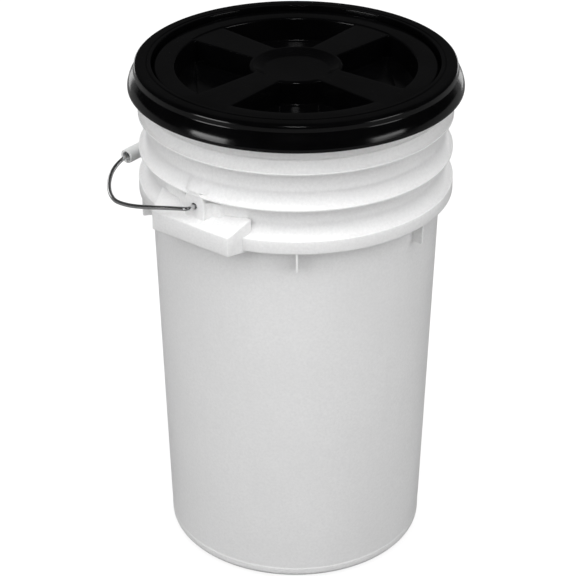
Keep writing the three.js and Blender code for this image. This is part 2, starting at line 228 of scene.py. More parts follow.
class Shape:
    """Points in millimetres and faces, gathered before they become one mesh."""

    def __init__(self):
        self.points = []
        self.faces = []

    def ring(self, points):
        first = len(self.points)
        self.points += [Vector(p) for p in points]
        return list(range(first, len(self.points)))

    def bridge(self, a, b, closed=True):
        """Faces between two rings of equal length, or between a ring and a single point."""
        count = max(len(a), len(b))
        for i in range(count if closed else count - 1):
            j = (i + 1) % count
            quad = [a[i % len(a)], a[j % len(a)], b[j % len(b)], b[i % len(b)]]
            corners = list(dict.fromkeys(quad))
            if len(corners) > 2:
                self.faces.append(corners)

    def loft(self, rings, closed=True):
        for a, b in zip(rings, rings[1:]):
            self.bridge(a, b, closed)

    def turned(self, outline):
        """Turns an outline of (radius, height) about Z. It closes on itself unless it ends on the axis."""
        angles = [2 * pi * i / SEGMENTS for i in range(SEGMENTS)]
        rings = []
        for r, z in outline:
            spokes = [0] if r < 1e-6 else angles
            rings.append(self.ring([(r * cos(a), r * sin(a), z) for a in spokes]))
        if outline[0][0] > 1e-6:
            rings.append(rings[0])
        self.loft(rings)

    def extruded(self, outline, place, low, high):
        """A prism between place(x, y, low) and place(x, y, high)."""
        rings = [self.ring([place(x, y, level) for x, y in outline]) for level in (low, high)]
        self.bridge(*rings)
        self.faces += rings

    def make(self, name, sharp_deg=32):
        """The finished mesh object, with its faces turned outwards and its creases marked."""
        mesh = bpy.data.meshes.new(name)
        mesh.from_pydata([p * MM for p in self.points], [], self.faces)
        made = bpy.data.objects.new(name, mesh)
        bpy.context.scene.collection.objects.link(made)
        tidy(made, sharp_deg)
        return made


def tidy(piece, sharp_deg=32):
    """Merges doubled points, turns faces outwards, and shades smooth between creases."""
    work = bmesh.new()
    work.from_mesh(piece.data)
    bmesh.ops.remove_doubles(work, verts=work.verts, dist=1e-6)
    bmesh.ops.dissolve_degenerate(work, edges=work.edges, dist=1e-6)
    bmesh.ops.recalc_face_normals(work, faces=work.faces)
    work.to_mesh(piece.data)
    work.free()
    piece.data.polygons.foreach_set("use_smooth", [True] * len(piece.data.polygons))
    piece.data.set_sharp_from_angle(angle=radians(sharp_deg))


def bevelled(piece, width, segments=3):
    """Rounds every crease of a plain solid."""
    work = bmesh.new()
    work.from_mesh(piece.data)
    creases = [e for e in work.edges if e.calc_face_angle(0) > radians(25)]
    bmesh.ops.bevel(work, geom=creases, offset=width * MM, segments=segments, profile=0.5, affect="EDGES")
    work.to_mesh(piece.data)
    work.free()
    return piece


def settle(piece):
    """Bakes a piece's modifiers into its mesh."""
    graph = bpy.context.evaluated_depsgraph_get()
    baked = bpy.data.meshes.new_from_object(piece.evaluated_get(graph))
    piece.modifiers.clear()
    piece.data = baked
    baked.name = piece.name


def combine(piece, operation, others):
    """Adds solids to a piece (UNION) or cuts them from it (DIFFERENCE), and uses them up."""
    for other in others:
        step = piece.modifiers.new(operation.lower(), "BOOLEAN")
        step.solver = "EXACT"
        step.operation = operation
        step.object = other
    settle(piece)
    for other in others:
        bpy.data.objects.remove(other)
    return piece


def joined(pieces):
    """Several solids as one mesh object."""
    work = bmesh.new()
    for piece in pieces:
        piece.data.transform(piece.matrix_basis)
        work.from_mesh(piece.data)
    work.to_mesh(pieces[0].data)
    work.free()
    pieces[0].matrix_basis = Matrix.Identity(4)
    for piece in pieces[1:]:
        bpy.data.objects.remove(piece)
    return pieces[0]


def copy_turned(piece, deg):
    """A copy of a piece turned about Z."""
    twin = piece.copy()
    twin.data = piece.data.copy()
    twin.data.transform(Matrix.Rotation(radians(deg), 4, "Z"))
    bpy.context.scene.collection.objects.link(twin)
    return twin


# ------------------------------------------------------------------ pail
def pail_shell():
    corner_z = FOOT_BEVEL + CORNER_R
    corner_x = wall_radius(corner_z) - CORNER_R
    floor_z = WALL + GAP
    gate = GATE_RECESS
    line = FOOT_LINE
    band_hollow = BAND["cove_top"] - HOLLOW_SHORT
    low_hollow = FLANGE_LOW["cove_top"] - HOLLOW_SHORT
    high_hollow = FLANGE_HIGH["cove_top"] - HOLLOW_SHORT / 2
    outside = [
        (0, gate["nub"]), (gate["nub_r"], gate["nub"], 0.4), (gate["nub_r"] + 0.4, gate["depth"], 0.4),
        (gate["r"], gate["depth"], 1), (gate["r"] + 1.5, 0, 0.8), (FOOT_R, 0, 2),
        *arc(corner_x, corner_z, CORNER_R, CORNER_R, -90, 0, 8),
        (wall_radius(line["z"]), line["z"] - line["rise"], line["rounding"]),
        (wall_radius(line["z"]) - line["depth"], line["z"], line["rounding"]),
        (wall_radius(line["fade_z"]), line["fade_z"]),
        # hanging band
        *under_cove(BAND["r"] - WALL, BAND["high"] - WALL, wall_radius(band_hollow), band_hollow),
        (BAND["r"] - WALL, BAND["low"], 0.5), (BAND["r"], BAND["low"], 0.9),
        *cove(BAND, wall_radius(BAND["cove_top"])),
        # lower flange
        *under_cove(FLANGE_LOW["r"] - FLANGE_LIP, FLANGE_LOW["low"], wall_radius(low_hollow), low_hollow),
        (FLANGE_LOW["r"], FLANGE_LOW["low"], 0.7),
        *cove(FLANGE_LOW, wall_radius(FLANGE_LOW["cove_top"])),
        # upper flange and the ridge above it
        *under_cove(FLANGE_HIGH["r"] - FLANGE_LIP, FLANGE_HIGH["low"], NECK_R - NECK_LEAN, high_hollow),
        (FLANGE_HIGH["r"], FLANGE_HIGH["low"], 0.7),
        *cove(FLANGE_HIGH, NECK_R + NECK_LEAN),
        (RIDGE_R, FLANGE_HIGH["cove_top"], 0.5), (RIDGE_R, RIDGE_TOP, 0.7), (NECK_R, RIDGE_TOP + 1, 0.5),
        # hollow rim
        (NECK_R, RIM_TOP - WALL), (RIM_R - WALL, RIM_TOP - WALL), (RIM_R - WALL, RIM_LOW, 0.5),
        (RIM_R, RIM_LOW, 0.8), (RIM_R, RIM_TOP, 2.2), (NECK_R - WALL, RIM_TOP, 1.5),
    ]
    inside = [
        (NECK_R - WALL, RIDGE_TOP + 1, 1), (wall_radius(FLANGE_HIGH["low"]) - WALL, FLANGE_HIGH["low"], 2),
        (wall_radius(corner_z) - WALL, corner_z),
        *arc(corner_x, corner_z, CORNER_R - WALL, CORNER_R - WALL, -15, -75, 4),
        (FOOT_R - 1, floor_z), (0, floor_z),
    ]
    shell = Shape()
    shell.turned(rounded(outside + inside))
    raise_hoods(shell)
    return shell.make("pail")


def raise_hoods(shell):
    """Swells the lower flange's cove outwards over each boss."""
    for p in shell.points:
        if hypot(p.x, p.y) < wall_radius(p.z) - 0.5:
            continue
        across = 1 - eased(abs(p.y), *HOOD["side_y"])
        along = eased(p.z, *HOOD["low_z"]) * (1 - eased(p.z, *HOOD["high_z"]))
        swell = HOOD["proud"] * across * along
        p.x += swell if p.x > 0 else -swell


def wall_core(offset):
    """Everything inside the outer wall surface moved out by offset, near the ears."""
    low, high = 360, 470
    core = Shape()
    core.turned([(0, low), (wall_radius(low) + offset, low), (wall_radius(high) + offset, high), (0, high)])
    return core.make("core")


def facing_x(y, z, x):
    """Stands a flat (y, z) outline up across the X axis."""
    return (x, y, z)


def ear_block(inset, low):
    """The ear's block: its plan widens towards the wall and its top slopes up to the wall."""
    slope = (EAR["wall_top"] - EAR["high"]) / (EAR["face"] - wall_radius(EAR["wall_top"]))
    front = EAR["face"] - inset
    front_top = EAR["high"] - inset
    ends = []
    for x, half, top in (
        (front, EAR["half"] - inset, front_top),
        (EAR_ROOT_X, EAR["root_half"] - inset, front_top + slope * (front - EAR_ROOT_X)),
    ):
        ends.append([(x, -half, low), (x, half, low), (x, half, top), (x, -half, top)])
    block = Shape()
    rings = [block.ring(points) for points in ends]
    block.bridge(*rings)
    block.faces += rings
    return block.make("block")


def boss(inset, low, face):
    """The arched boss that holds the wire, as a prism along X."""
    r = BOSS_R - inset
    outline = [(-r, low), (r, low), *arc(0, BOSS_Z, r, r, 0, 180, 32)]
    arch = Shape()
    arch.extruded(outline, facing_x, EAR_ROOT_X, face)
    return arch.make("boss")


def pad(side):
    """The raised panel on the wall beside the boss: thick next to the boss, then thin and fading out."""
    panel = Shape()
    rings = []
    stations = PAD["stations"]
    for i in range(stations + 1):
        y = PAD["from_y"] + (PAD["to_y"] - PAD["from_y"]) * i / stations
        step = eased(y, *PAD["step_y"])
        fade = 1 - eased(y, PAD["fade_y"], PAD["to_y"])
        proud, low, high = (a + (b - a) * step for a, b in zip(PAD["near"], PAD["far"]))
        proud = proud * fade + PAD["fillet"] * (1 - eased(y, *PAD["fillet_y"]))
        section = rounded([
            (EAR_ROOT_X, low), (wall_radius(low) + proud, low, 0.6),
            (wall_radius(high) + proud, high, 1), (EAR_ROOT_X, high),
        ])
        a = side * asin(y / wall_radius(high))
        rings.append(panel.ring([(r * cos(a), r * sin(a), z) for r, z in section]))
    panel.loft(rings)
    panel.faces += [rings[0], rings[-1]]
    return panel.make("pad")


def rib(deg):
    """A thin radial rib hanging below the band."""
    root = wall_radius(RIB["low"]) - 1
    outline = rounded([
        (root, RIB["low"]), (RIB["r"] - 0.2, RIB["low"], 1.5), (RIB["r"], BAND["low"]),
        (RIB["r"], BAND["low"] + 3), (root, BAND["low"] + 12),
    ])
    blade = Shape()
    blade.extruded(outline, lambda x, z, y: (x, y, z), -RIB["thick"] / 2, RIB["thick"] / 2)
    made = bevelled(blade.make("rib"), EDGE_ROUND["rib"], 2)
    made.data.transform(Matrix.Rotation(radians(deg), 4, "Z"))
    return made


def hinge_hole():
    hole = Shape()
    hole.extruded(arc(0, HINGE_Z, HINGE_HOLE_R, HINGE_HOLE_R, 0, 345, 23), facing_x, 150, EAR["face"] + 5)
    return hole.make("hole")


def pail_body():
    ear = bevelled(ear_block(0, EAR["low"]), EDGE_ROUND["ear"])
    arch = bevelled(boss(0, EAR["high"] - BOSS_SUNK, BOSS_FACE), EDGE_ROUND["boss"])
    combine(ear, "UNION", [arch, pad(-1), pad(1)])
    combine(ear, "DIFFERENCE", [wall_core(-1)])
    hollow = ear_block(WALL, EAR["low"] - 1)
    combine(hollow, "UNION", [boss(WALL, EAR["high"] - HOLLOW_SUNK, BOSS_FACE - BOSS_PLATE)])
    combine(hollow, "DIFFERENCE", [wall_core(GAP)])
    hole = hinge_hole()
    additions = [ear, copy_turned(ear, 180)]
    for i in range(RIB["count"]):
        opposite = i // (RIB["count"] // 2)
        step = i % (RIB["count"] // 2)
        additions.append(rib(RIB["first_deg"] + RIB["step_deg"] * step + 180 * opposite))
    cuts = [hollow, copy_turned(hollow, 180), hole, copy_turned(hole, 180)]
    body = pail_shell()
    combine(body, "UNION", [joined(additions)])
    combine(body, "DIFFERENCE", [joined(cuts[:2])])
    combine(body, "DIFFERENCE", [joined(cuts[2:])])
    tidy(body, 30)
    return body


# ------------------------------------------------------------------ adapter ring
def thread_ridges(shape, root, crest, start_deg, sweep_deg, z):
    """Winds one chamfered ridge for each start, sinking into the wall at both ends."""
    outward = 1 if crest > root else -1
    buried = -THREAD_BURIED
    corner_in, corner_up = THREAD_CORNER
    height = abs(crest - root)
    steps = round(sweep_deg / THREAD_STEP_DEG)
    half_root = THREAD_BASE / 2 - buried * (THREAD_BASE - THREAD_CREST) / 2 / height
    for start in range(STARTS):
        rings = []
        for i in range(steps + 1):
            turned_deg = sweep_deg * i / steps
            fade = min(1, turned_deg / FADE_DEG, (sweep_deg - turned_deg) / FADE_DEG)
            top = -THREAD_SUNK + (height + THREAD_SUNK) * fade
            a = radians(start_deg + turned_deg + 360 / STARTS * start)
            level = z + LEAD * turned_deg / 360
            section = [
                (buried, -half_root),
                (top - corner_in, -THREAD_CREST / 2 - corner_up), (top, -THREAD_CREST / 2 + corner_up),
            ]
            section += [(out, -up) for out, up in reversed(section)]
            placed = [(root + outward * out, level + up) for out, up in section]
            rings.append(shape.ring([(radius * cos(a), radius * sin(a), up) for radius, up in placed]))
        shape.loft(rings)
        shape.faces += [rings[0], rings[-1]]


def adapter_ring():
    inner_wall = RING_BORE + WALL
    under = RING_TOP - RING_PLATE
    outline = rounded([
        # outside, from the skirt's lip up over the shoulder
        (SKIRT_R - WALL, SKIRT_LOW, 0.5), (SKIRT_R, SKIRT_LOW, 1),
        (SKIRT_R, SKIRT_LOW + SKIRT_SWELL["low"], 6),
        (SKIRT_R - SKIRT_SWELL["lean"], SKIRT_LOW + SKIRT_SWELL["high"], 25),
        (SHOULDER_R + 0.9, RING_TOP - SHOULDER_DROP, 5), (SHOULDER_R, RING_TOP, 5.5),
        # top face, bore and gasket ledge
        (GROOVE["r"] + GROOVE["half"], RING_TOP, 0.3), (GROOVE["r"], RING_TOP - GROOVE["depth"], 0.2),
        (GROOVE["r"] - GROOVE["half"], RING_TOP, 0.3), (RING_BORE, RING_TOP, 1.2),
        (RING_BORE, RING_FOOT + RING_PLATE, 0.8), (SEAT_R, RING_FOOT + RING_PLATE, 0.6),
        (SEAT_R, RING_FOOT, 0.6), (inner_wall, RING_FOOT, 1),
        # channel that takes the pail's rim
        (inner_wall, under, 1), (SHOULDER_R - WALL, under, 1),
        (SHOULDER_R + SNAP["clear"] - WALL, RING_TOP - SHOULDER_DROP),
        (RIM_R + SNAP["clear"], RIM_LOW - GAP), (RIM_R - SNAP["under"], RIM_LOW - GAP, 0.3),
        (RIM_R - SNAP["under"], RIM_LOW - SNAP["down"], 0.3),
        (SKIRT_R - WALL - SKIRT_SWELL["lean"], SKIRT_LOW + 2, 1),
    ], steps=6)
    ring = Shape()
    ring.turned(outline)
    thread_ridges(ring, **FEMALE)
    return ring.make("adapter", 40)


# ------------------------------------------------------------------ spin lid
def lid_profile():
    """Height of the lid's top against radius: dished hub, bars, and the flange round them."""
    return rounded([
        (0, HUB_FLOOR), (HUB_FLOOR_R, HUB_FLOOR, 1.5), (HUB_RIM_R, BAR_TOP, 2),
        (WELL_R + FLANGE_STEP[0], BAR_TOP, 0.5), (WELL_R + FLANGE_STEP[1], LID_TOP, 0.5),
        (LID_WALL_R, LID_TOP),
    ])


def height_at(profile, r):
    """Interpolates a profile of (radius, height) points."""
    for (r0, z0), (r1, z1) in zip(profile, profile[1:]):
        if r <= r1:
            return z0 + (z1 - z0) * (r - r0) / (r1 - r0)
    return profile[-1][1]


def half_well(grow, lips):
    """Half a well's outline: along the rim to the bar at 0 degrees, in along the bar, then round the hub to
    45 degrees. It is grown by grow, and each stretch further by its lip. Returns the points, and where the
    stretch beside the bar starts and ends among them."""
    rim_lip, side_lip, hub_lip = lips
    outer_r = WELL_R + grow + rim_lip
    inner_r = HUB_WALL_R - grow - hub_lip
    corner = WELL_CORNER + grow + side_lip
    slope = atan2(BAR_OUTER - BAR_HUB, WELL_R - HUB_WALL_R)
    normal = Vector((-sin(slope), cos(slope)))
    direction = Vector((cos(slope), sin(slope)))
    away = normal.dot(Vector((HUB_WALL_R, BAR_HUB + WELL_LIPS[1]))) - grow - side_lip + corner
    reaches = (outer_r - corner, inner_r + corner)
    centres = [direction * sqrt(r * r - away * away) + normal * away for r in reaches]
    turns = [degrees(atan2(c.y, c.x)) for c in centres]
    edge_deg = degrees(slope) - 90
    points = arc(0, 0, outer_r, outer_r, 45, turns[0], WELL_STEPS["rim"])[:-1]
    first = len(points)
    points += arc(*centres[0], corner, corner, turns[0], edge_deg, WELL_STEPS["corner"])
    start = Vector(points[-1])
    corner_in = arc(*centres[1], corner, corner, edge_deg, turns[1] - 180, WELL_STEPS["corner"])
    finish = Vector(corner_in[0])
    side_steps = WELL_STEPS["side"]
    points += [tuple(start.lerp(finish, k / side_steps)) for k in range(1, side_steps)]
    points += corner_in
    last = len(points) - 1
    points += arc(0, 0, inner_r, inner_r, turns[1], 45, WELL_STEPS["hub"])[1:]
    return points, first, last


def lip_sizes(lips, count, first, last):
    """The lip's radius at each point of half_well: it changes over the corners."""
    sizes = []
    for i in range(count):
        rim = 1 - eased(i, first, first + WELL_STEPS["corner"])
        hub = eased(i, last - WELL_STEPS["corner"], last)
        sizes.append(lips[1] + (lips[0] - lips[1]) * rim + (lips[2] - lips[1]) * hub)
    return sizes


def lid_face(shape, drop, wall_grow, lips, floor_z):
    """One face of the lid's panel, hub to flange, with its four wells. Returns the rings round it and in it,
    and the profile it follows."""
    profile = lid_profile()
    half, first, last = half_well(wall_grow, lips)
    count = len(half)
    sizes = lip_sizes(lips, count, first, last)
    tops = [height_at(profile, hypot(x, y)) - drop for x, y in half]
    quarter_turn = [pi / 2 * k / 5 for k in range(6)]
    # outlines of one half well from the top down: round the lip, down the wall, round into the floor
    outlines = []
    for a in quarter_turn:
        points = half_well(wall_grow, [lip * (1 - sin(a)) for lip in lips])[0]
        outlines.append([(x, y, z - size * (1 - cos(a))) for (x, y), z, size in zip(points, tops, sizes)])
    for a in quarter_turn:
        points = half_well(wall_grow - WELL_DRAFT - WELL_FILLET * (1 - cos(a)), (0, 0, 0))[0]
        outlines.append([(x, y, floor_z + WELL_FILLET * (1 - sin(a))) for x, y in points])
    outer_ring, inner_ring = [], []
    for quarter in range(4):
        turn = Matrix.Rotation(radians(90 * quarter + BAR_PHASE_DEG), 3, "Z")
        # the bar, in rows of equal radius
        rows = []
        for (x, y), z in zip(half[first:last + 1], tops[first:last + 1]):
            r, a = hypot(x, y), atan2(y, x)
            across = [-a + 2 * a * k / BAR_COLUMNS for k in range(BAR_COLUMNS + 1)]
            rows.append(shape.ring([turn @ Vector((r * cos(t), r * sin(t), z)) for t in across]))
        shape.loft(rows, closed=False)
        # the well that follows it, one half mirrored from the other
        rings = []
        for outline in outlines:
            near = [turn @ Vector(point) for point in outline]
            far = [turn @ Vector((y, x, z)) for x, y, z in outline]
            rings.append(shape.ring(near + far[-2:0:-1]))
        shape.loft(rings)
        # the floor, in strips from one half to its mirror image
        floor = rings[-1]
        mirrored = floor[:1] + floor[:count - 2:-1]
        shape.bridge(floor[:count], mirrored, closed=False)
        # the well's top edge along the flange, from this bar to the next, and along the hub
        top = rings[0]
        outer_ring += rows[0] + top[first - 1::-1] + top[:-first:-1]
        inner_ring += rows[-1] + top[last + 1:2 * count - 3 - last]
    return outer_ring, inner_ring, profile


def spin_lid():
    shape = Shape()
    shells = []
    for drop, wall_grow, lips, floor_z in (
        (0, 0, WELL_LIPS, WELL_FLOOR),
        (LID_THICK, LID_THICK, (1, 1, 1), WELL_FLOOR - LID_THICK),
    ):
        outer, inner, profile = lid_face(shape, drop, wall_grow, lips, floor_z)
        spokes = [atan2(shape.points[i].y, shape.points[i].x) for i in inner]
        edge_r = HUB_WALL_R - wall_grow - lips[2]
        rings = [inner]
        for r, z in reversed([p for p in profile if 0 < p[0] < edge_r - 0.1]):
            rings.append(shape.ring([(r * cos(a), r * sin(a), z - drop) for a in spokes]))
        rings.append(shape.ring([(0, 0, HUB_FLOOR - drop)]))
        shape.loft(rings)
        shells.append(outer)
    top, under = shells
    spokes = [atan2(shape.points[i].y, shape.points[i].x) for i in top]
    inner_r = LID_WALL_R - LID_WALL
    wall = rounded([
        (WELL_R + WELL_LIPS[0], LID_TOP), (LID_WALL_R, LID_TOP, LID_EDGE), (LID_WALL_R, LID_LEDGE, 0.6),
        (SEAT_R + GAP, LID_LEDGE, 0.6), (SEAT_R + GAP, LID_LEDGE + LID_THICK, 0.6),
        (inner_r, LID_LEDGE + LID_THICK, 0.6), (inner_r, LID_TOP - LID_THICK, 1),
        (WELL_R + 5, LID_TOP - LID_THICK),
    ], steps=6)[1:]
    rings = [top] + [shape.ring([(r * cos(a), r * sin(a), z) for a in spokes]) for r, z in wall] + [under]
    shape.loft(rings)
    thread_ridges(shape, **MALE)
    return shape.make("lid", 40)


# ------------------------------------------------------------------ bail
def bail_point(x, v):
    """A point of the bail's own plane at its rest angle."""
    a = radians(BAIL_REST_DEG)
    return Vector((x, v * cos(a), HINGE_Z + v * sin(a)))


def smooth_path(points, per_span=12):
    """A centripetal Catmull-Rom curve through 2-D points."""
    ends = [points[0] * 2 - points[1], *points, points[-1] * 2 - points[-2]]
    path = [points[0]]
    for p0, p1, p2, p3 in zip(ends, ends[1:], ends[2:], ends[3:]):
        t1 = (p1 - p0).length ** 0.5
        t2 = t1 + (p2 - p1).length ** 0.5
        t3 = t2 + (p3 - p2).length ** 0.5
        for k in range(1, per_span + 1):
            t = t1 + (t2 - t1) * k / per_span
            a1 = p0.lerp(p1, t / t1)
            a2 = p1.lerp(p2, (t - t1) / (t2 - t1))
            a3 = p2.lerp(p3, (t - t2) / (t3 - t2))
            b1 = a1.lerp(a2, t / t2)
            b2 = a2.lerp(a3, (t - t1) / (t3 - t1))
            path.append(b1.lerp(b2, (t - t1) / (t2 - t1)))
    return path


def bail_wire():
    """The wire as one tube, hinge end to hinge end, with an upset head behind each boss."""
    foot = [Vector(p) for p in arc(LEG_X - LEG_BEND, LEG_BEND, LEG_BEND, LEG_BEND, -90, 0, 8)]
    leg = smooth_path([Vector((LEG_X, LEG_BEND)), *map(Vector, LEG)])[1:]
    half = [(Vector((x, 0)), r) for x, r in WIRE_HEAD] + [(p, WIRE_R) for p in foot + leg]
    stations = [(bail_point(p.x, p.y), r) for p, r in half]
    stations += [(bail_point(-p.x, p.y), r) for p, r in reversed(half)]
    plane_normal = Vector((0, -sin(radians(BAIL_REST_DEG)), cos(radians(BAIL_REST_DEG))))
    wire = Shape()
    rings = []
    streaks = []
    along = 0
    for i, (p, r) in enumerate(stations):
        before = stations[max(i - 1, 0)][0]
        after = stations[min(i + 1, len(stations) - 1)][0]
        side = (after - before).normalized().cross(plane_normal)
        along += (p - before).length
        circle = [radians(360 * k / WIRE_SIDES) for k in range(WIRE_SIDES)]
        rings.append(wire.ring([p + (side * cos(a) + plane_normal * sin(a)) * r for a in circle]))
        streaks += [(cos(a), sin(a), along / STREAK_LENGTH) for a in circle]
    wire.loft(rings)
    wire.faces += [rings[0], rings[-1]]
    made = wire.make("wire", 50)
    attribute = made.data.attributes.new("streak", "FLOAT_VECTOR", "POINT")
    for vertex, streak in zip(attribute.data, streaks):
        vertex.vector = streak
    return made


def grip_section(inset):
    """The grip's open-tube section, slit towards +x, drawn smaller by inset."""
    r = GRIP["r"] - inset
    bore = GRIP["bore"] + inset
    gap = GRIP["slit"] / 2 + inset
    outer_deg = degrees(asin(gap / r))
    inner_deg = degrees(asin(gap / bore))
    outline = arc(0, 0, r, r, outer_deg, 360 - outer_deg, 56)
    outline += arc(0, 0, bore, bore, 360 - inner_deg, inner_deg, 44)
    return outline


def bail_grip():
    """The grip: an open tube with rounded ends, and three webs inside it that ride on the wire."""
    centre = bail_point(0, GRIP_V)
    tilt = Matrix.Rotation(radians(BAIL_REST_DEG), 3, "X")

    def place(x, y, along):
        return centre + tilt @ Vector((along, y, -x))

    end = GRIP["length"] / 2
    quarter_turn = [pi / 2 * k / 4 for k in range(5)]
    ends = [(end - GRIP_EDGE * (1 - sin(a)), GRIP_EDGE * (1 - cos(a))) for a in quarter_turn]
    stations = [(-at, inset) for at, inset in reversed(ends)] + ends
    grip = Shape()
    rings = [grip.ring([place(x, y, at) for x, y in grip_section(inset)]) for at, inset in stations]
    grip.loft(rings)
    grip.faces += [rings[0], rings[-1]]
    for deg in (60, 180, 300):
        spoke = Matrix.Rotation(radians(deg), 2)
        half = GRIP["web_thick"] / 2
        root = GRIP["bore"] + 1
        corners = [(GRIP["web_r"], -half, 0.3), (root, -half), (root, half), (GRIP["web_r"], half, 0.3)]
        outline = [tuple(spoke @ Vector(p)) for p in rounded(corners)]
        reach = end - GRIP["web_inset"]
        grip.extruded(outline, place, -reach, reach)
    return grip.make("grip", 35)


# ------------------------------------------------------------------ materials
class Finish:
    """A material's node tree, built up from a Principled shader."""

    def __init__(self, name):
        self.material = bpy.data.materials.new(name)
        self.material.use_nodes = True
        self.tree = self.material.node_tree
        self.shader = self.tree.nodes["Principled BSDF"]
        self.place = self.node("ShaderNodeTexCoord").outputs["Object"]

    def node(self, kind, **settings):
        made = self.tree.nodes.new(kind)
        for key, value in settings.items():
            setattr(made, key, value)
        return made

    def link(self, source, target):
        self.tree.links.new(source, target)

    def set(self, **values):
        for key, value in values.items():
            self.shader.inputs[key.replace("_", " ")].default_value = value

    def noise(self, scale, detail=3, roughness=0.5, stretch=None, source=None):
        """Noise with features about 1 / scale metres across."""
        vector = source or self.place
        if stretch:
            mapping = self.node("ShaderNodeMapping")
            mapping.inputs["Scale"].default_value = stretch
            self.link(vector, mapping.inputs["Vector"])
            vector = mapping.outputs["Vector"]
        made = self.node("ShaderNodeTexNoise")
        made.inputs["Scale"].default_value = scale
        made.inputs["Detail"].default_value = detail
        made.inputs["Roughness"].default_value = roughness
        self.link(vector, made.inputs["Vector"])
        return made.outputs["Fac"]

    def ramp(self, value, low, high, out_low=0.0, out_high=1.0):
        """Maps a value range onto another, held at both ends."""
        made = self.node("ShaderNodeMapRange")
        for key, number in zip(("From Min", "From Max", "To Min", "To Max"), (low, high, out_low, out_high)):
            made.inputs[key].default_value = number
        self.link(value, made.inputs["Value"])
        return made.outputs["Result"]

    def add(self, a, b):
        made = self.node("ShaderNodeMath", operation="ADD")
        self.link(a, made.inputs[0])
        self.link(b, made.inputs[1])
        return made.outputs[0]

    def blend(self, factor, colour_a, colour_b):
        """Mixes two colours; colour_a may be the result of another blend."""
        made = self.node("ShaderNodeMix", data_type="RGBA")
        self.link(factor, made.inputs["Factor"])
        for socket, colour in ((made.inputs[6], colour_a), (made.inputs[7], colour_b)):
            if isinstance(colour, tuple):
                socket.default_value = (*colour, 1)
            else:
                self.link(colour, socket)
        return made.outputs[2]

    def bump(self, layers):
        """Chains (height, strength, distance in millimetres) bumps into the shader's normal."""
        normal = None
        for height, strength, distance in layers:
            made = self.node("ShaderNodeBump")
            made.inputs["Strength"].default_value = strength
            made.inputs["Distance"].default_value = distance * MM
            self.link(height, made.inputs["Height"])
            if normal:
                self.link(normal, made.inputs["Normal"])
            normal = made.outputs["Normal"]
        self.link(normal, self.shader.inputs["Normal"])

    def colour(self, value):
        self.link(value, self.shader.inputs["Base Color"])

    def rough(self, value):
        self.link(value, self.shader.inputs["Roughness"])


def white_plastic():
    """Natural white polyethylene: cloudy, slightly waxy, with a fine mould grain."""
    f = Finish("white_polyethylene")
    f.set(IOR=1.5, Subsurface_Weight=0.45, Subsurface_Radius=(1, 1, 0.97), Subsurface_Scale=0.006)
    cloud = f.noise(9, 4, 0.55)
    streaks = f.noise(60, 3, 0.5, stretch=(1, 1, 0.12))
    grain = f.noise(900, 2)
    mottle = f.noise(380, 3, 0.6)
    tint = f.blend(f.ramp(cloud, 0.35, 0.68), (0.85, 0.849, 0.847), (0.885, 0.884, 0.882))
    streaked = f.blend(f.ramp(streaks, 0.55, 0.8, 0, 0.35), tint, (0.795, 0.795, 0.795))
    f.colour(f.blend(f.ramp(mottle, 0.3, 0.7, 0, 0.6), streaked, (0.76, 0.76, 0.76)))
    f.rough(f.ramp(f.add(cloud, streaks), 0.6, 1.3, 0.33, 0.47))
    f.bump([(f.noise(14, 2), 0.25, 1.5), (streaks, 0.08, 0.3), (grain, 0.18, 0.06)])
    return f.material


def black_plastic():
    """Glossy black polypropylene: deep colour, faint flow clouding and a fine grain."""
    f = Finish("black_polypropylene")
    f.set(IOR=1.46)
    cloud = f.noise(22, 4, 0.6)
    grain = f.noise(1500, 2)
    f.colour(f.blend(f.ramp(cloud, 0.35, 0.7), (0.0008, 0.0008, 0.0009), (0.0016, 0.0016, 0.0018)))
    f.rough(f.ramp(f.add(cloud, grain), 0.7, 1.3, 0.1, 0.2))
    f.bump([(f.noise(30, 2), 0.1, 0.3), (grain, 0.04, 0.02)])
    return f.material


def steel():
    """Galvanised drawn wire: fine lines along its length and a slightly mottled zinc skin."""
    f = Finish("zinc_plated_steel")
    f.set(Metallic=0.95)
    streak = f.node("ShaderNodeAttribute", attribute_name="streak").outputs["Vector"]
    lines = f.noise(7, 3, 0.6, stretch=(1, 1, 0.03), source=streak)
    mottle = f.noise(3, 4, 0.6, stretch=(1, 1, 0.3), source=streak)
    base = f.blend(f.ramp(mottle, 0.35, 0.7), (0.58, 0.585, 0.59), (0.7, 0.705, 0.71))
    f.colour(f.blend(f.ramp(lines, 0.5, 0.8, 0, 0.3), base, (0.22, 0.225, 0.235)))
    f.rough(f.ramp(mottle, 0.3, 0.75, 0.13, 0.22))
    f.bump([(lines, 0.1, 0.05)])
    return f.material


def grip_plastic():
    """White moulded grip, a little greyer and rougher than the pail."""
    f = Finish("white_grip_plastic")
    f.set(IOR=1.5, Subsurface_Weight=0.2, Subsurface_Radius=(1, 0.95, 0.85), Subsurface_Scale=0.002)
    cloud = f.noise(45, 4, 0.6)
    f.colour(f.blend(f.ramp(cloud, 0.35, 0.7), (0.7, 0.71, 0.71), (0.8, 0.805, 0.8)))
    f.rough(f.ramp(cloud, 0.3, 0.75, 0.38, 0.52))
    f.bump([(f.noise(120, 2), 0.2, 0.15), (f.noise(1600, 2), 0.15, 0.05)])
    return f.material


def rubber():
    """Dark foam rubber for the two gaskets."""
    f = Finish("gasket_rubber")
    f.set(IOR=1.5)
    cells = f.noise(700, 4, 0.7)
    f.colour(f.blend(f.ramp(cells, 0.3, 0.7), (0.035, 0.036, 0.038), (0.085, 0.087, 0.09)))
    f.rough(f.ramp(cells, 0.3, 0.7, 0.68, 0.85))
    f.bump([(cells, 0.5, 0.2)])
    return f.material


